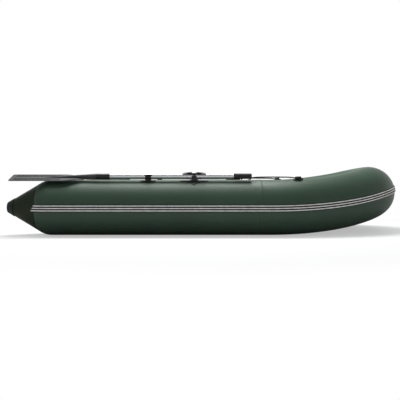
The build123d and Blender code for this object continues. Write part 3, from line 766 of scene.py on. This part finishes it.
# ---- Valve and plug caps ---------------------------------------------------------------------
VALVE_S, VALVE_ANGLE = -1217 * MM, math.radians(162)
BOW_VALVE_LEAN = math.radians(24)
BAR_SHARES = (-1, -0.9, 0, 0.9, 1)


def grip_lugs(place, axis, radius, height, count):
    """Small upright ribs round a cap, for the fingers."""
    axis, across, other = square_to(axis)
    meshes = []
    for foot in circle(Vector(place), across, other, radius, count):
        rib = [foot, foot + axis * height * 0.5, foot + axis * height]
        meshes.append(tube_mesh("lug", rib, 1.3 * MM, 6))
    return meshes


def valve_frames():
    """Seat and axis of the two side valves and the bow valve."""
    seat = on_tube(VALVE_S, VALVE_ANGLE)
    out = (on_tube(VALVE_S, VALVE_ANGLE, 1.0) - seat).normalized()
    up_aft = Vector((-math.cos(BOW_VALVE_LEAN), 0, math.sin(BOW_VALVE_LEAN)))
    return [(seat, out), (mirrored(seat), mirrored(out)), (NOSE + up_aft * TUBE_R, up_aft)]


def caps():
    """Finger ribs and a turning bar on each valve cap and on the drain plug."""
    meshes = []
    for seat, out in valve_frames():
        meshes += grip_lugs(seat + out * 4 * MM, out, radius=21.6 * MM, height=4.6 * MM, count=20)
        along = out.orthogonal().normalized()
        bar = [seat + out * 9.4 * MM + along * 15 * MM * t for t in BAR_SHARES]
        meshes.append(tube_mesh("bar", bar, 1.9 * MM, 8))
    low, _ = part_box("drain_plug")
    place = Vector(drain_face())
    meshes += grip_lugs(place, (-1, 0, 0), radius=17.3 * MM, height=7.5 * MM, count=14)
    bar = [Vector((low.x - 0.2 * MM, place.y + 11 * MM * t, place.z)) for t in BAR_SHARES]
    meshes.append(tube_mesh("bar", bar, 1.6 * MM, 8))
    hull_piece("cap_grips", join_meshes("cap_grips", meshes), "black_plastic")


# ---- Grab lines ------------------------------------------------------------------------------
LINE_R = 4.3 * MM
LINE_LAY = 34 * MM
LINE_START_S, LINE_START_ANGLE = -130 * MM, math.radians(117)
LINE_EYE_REACH, LINE_EYE_ANGLE = 183 * MM, math.radians(75)
# A strand's radius, and its middle's distance from the line's middle, in shares of the line's radius
STRAND_SHARE = 0.52


def line_route():
    """Control points of the starboard line, from its inboard eye to the eye on the bow tube."""
    middle, tangent, out, up = station(BOW_SIDE_R * math.asin(LINE_EYE_REACH / BOW_SIDE_R))
    rise = out * math.cos(LINE_EYE_ANGLE) + up * math.sin(LINE_EYE_ANGLE)
    seat = middle + rise * TUBE_R

    def over(along, inboard, lift):
        """Millimetres forward of the first eye, inboard of the tube's axis and above its crown."""
        return Vector((BOW_X + LINE_START_S + along * MM, AXIS_Y + inboard * MM, 2 * TUBE_R + lift * MM))

    return [
        on_tube(LINE_START_S, LINE_START_ANGLE, 13 * MM),
        over(4, 50, 11), over(28, 20, 16.5), over(90, 8, 18.5), over(200, -2, 18), over(260, -14, 17.5),
        seat + rise * 13.5 * MM - tangent * 12 * MM,
        seat + rise * 8 * MM + tangent * 34 * MM,
    ]


def smooth_line(points):
    """Points along the NURBS spline that the given control points steer."""
    curve = bpy.data.curves.new("route", "CURVE")
    curve.dimensions = "3D"
    curve.resolution_u = 32
    spline = curve.splines.new("NURBS")
    spline.points.add(len(points) - 1)
    for control, point in zip(spline.points, points):
        control.co = (*point, 1)
    spline.order_u = 3
    spline.use_endpoint_u = True
    route = bpy.data.objects.new("route", curve)
    mesh = bpy.data.meshes.new_from_object(route)
    line = [v.co.copy() for v in mesh.vertices]
    bpy.data.meshes.remove(mesh)
    bpy.data.objects.remove(route)
    bpy.data.curves.remove(curve)
    return line


def laid_rope(name, line):
    """Three strands twisted round the line."""
    strands = [[], [], []]
    travelled = 0.0
    side = heading(line, 0).orthogonal().normalized()
    for i, point in enumerate(line):
        ahead = heading(line, i)
        if i > 0:
            travelled += (point - line[i - 1]).length
            side = (side - ahead * side.dot(ahead)).normalized()
        other = ahead.cross(side)
        for k in range(3):
            angle = 2 * math.pi * (k / 3 + travelled / LINE_LAY)
            offset = (side * math.cos(angle) + other * math.sin(angle)) * LINE_R * STRAND_SHARE
            strands[k].append(point + offset)
    return join_meshes(name, [tube_mesh("strand", strand, LINE_R * STRAND_SHARE, 8) for strand in strands])


def grab_lines():
    line = smooth_line(line_route())
    for side in SIDES:
        run = line if side == "starboard" else [mirrored(p) for p in line]
        piece = hull_piece("grab_line_" + side, laid_rope("grab_line_" + side, run), "rope")
        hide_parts("lifeline_" + side)


# ---- Camera, light and floor ---------------------------------------------------------------
LAMP_PLACE, LAMP_AIM = Vector((-0.35, 0.45, 3.0)), Vector((-0.35, -0.2, 0.1))
LAMP_SIZE, LAMP_POWER = (2.5, 1.7), 145
SKY_COLOUR, SKY_STRENGTH = (0.95, 0.97, 1.0, 1), 0.36
WHITE = (1, 1, 1, 1)
FLOOR_REACH, FLOOR_Z = 60, -0.5 * MM


def set_camera(scene):
    data = bpy.data.cameras.new("camera")
    data.lens = LENS
    data.sensor_width = SENSOR_WIDTH
    data.shift_y = SHIFT_Y
    data.clip_end = 200
    camera = bpy.data.objects.new("camera", data)
    camera.location = CAMERA_PLACE
    camera.rotation_euler = (math.pi / 2, 0, 0)
    scene.collection.objects.link(camera)
    scene.camera = camera


def set_sky(scene):
    """Soft light from all round; white to the camera, and to mirrored or bent rays that go back and low."""
    world = bpy.data.worlds.new("studio")
    scene.world = world
    world.use_nodes = True
    world.node_tree.nodes.clear()
    sky = Nodes(world.node_tree)
    ray = sky.node("ShaderNodeLightPath").outputs
    split = sky.node("ShaderNodeSeparateXYZ")
    sky.link(sky.node("ShaderNodeTexCoord").outputs["Generated"], split.inputs["Vector"])
    low = sky.span(split.outputs["Z"], 1.0, 0.0, 0.25, 0.6)
    back = sky.span(split.outputs["Y"], 0.0, 1.0, -0.1, 0.4)
    mirrored_or_bent = sky.math("MAXIMUM", ray["Is Glossy Ray"], ray["Is Transmission Ray"])
    wall = sky.math("MULTIPLY", mirrored_or_bent, sky.math("MULTIPLY", low, back))
    seen = sky.math("MAXIMUM", wall, ray["Is Camera Ray"])
    soft, white = [
        sky.feed(sky.node("ShaderNodeBackground"), {"Color": colour, "Strength": strength}).outputs[0]
        for colour, strength in ((SKY_COLOUR, SKY_STRENGTH), (WHITE, 1.0))
    ]
    sky.link(sky.blend(seen, soft, white), sky.node("ShaderNodeOutputWorld").inputs["Surface"])


def hang_lamp(scene):
    """One wide, soft lamp above the boat."""
    data = bpy.data.lights.new("overhead", "AREA")
    data.shape = "RECTANGLE"
    data.size, data.size_y = LAMP_SIZE
    data.energy = LAMP_POWER
    lamp = bpy.data.objects.new("overhead", data)
    lamp.location = LAMP_PLACE
    lamp.rotation_euler = (LAMP_AIM - LAMP_PLACE).to_track_quat("-Z", "Y").to_euler()
    scene.collection.objects.link(lamp)


def lay_floor(scene):
    """A white paper floor; far from the boat it fades into the white of the studio."""
    mesh = bpy.data.meshes.new("floor")
    corners = [(-1, -1), (1, -1), (1, 1), (-1, 1)]
    mesh.from_pydata([(x * FLOOR_REACH, y * FLOOR_REACH, FLOOR_Z) for x, y in corners], [], [(0, 1, 2, 3)])
    floor = bpy.data.objects.new("floor", mesh)
    scene.collection.objects.link(floor)
    paper = Finish("floor_paper", (0.3, 0.3, 0.3), roughness=0.9, specular=0.05)
    ray = paper.node("ShaderNodeLightPath").outputs
    camera = ray["Is Camera Ray"]
    paper.link(paper.span(camera, 0.55, 0.9), paper.shader.inputs["Base Color"])
    distance = paper.node("ShaderNodeVectorMath", operation="LENGTH")
    paper.link(paper.place(), distance.inputs[0])
    near = paper.span(distance.outputs["Value"], 0.45, 1.0, 1.2, 2.3)
    far = paper.span(distance.outputs["Value"], 0.0, 1.0, 2.0, 4.0)
    mirrored_or_bent = paper.math("MAXIMUM", ray["Is Glossy Ray"], ray["Is Transmission Ray"])
    glow_seen = paper.math("MULTIPLY", camera, near)
    glow_mirrored = paper.math("MULTIPLY", mirrored_or_bent, far)
    share = paper.math("MAXIMUM", glow_seen, glow_mirrored)
    glow = paper.node("ShaderNodeEmission").outputs["Emission"]
    surface = paper.blend(share, paper.shader.outputs["BSDF"], glow)
    out = next(n for n in paper.tree.nodes if n.type == "OUTPUT_MATERIAL")
    paper.link(surface, out.inputs["Surface"])
    floor.data.materials.append(paper.material)


def set_stage():
    scene = bpy.context.scene
    scene.view_settings.view_transform = "Standard"
    set_camera(scene)
    set_sky(scene)
    hang_lamp(scene)
    lay_floor(scene)


set_stage()
dress_cad_nodes()
for side in SIDES:
    side_skin(side)
    cone_skin(side)
bow_skin()
seam_tapes()
bottom_sheet()
floor_straps()
fasteners()
caps()
grab_lines()
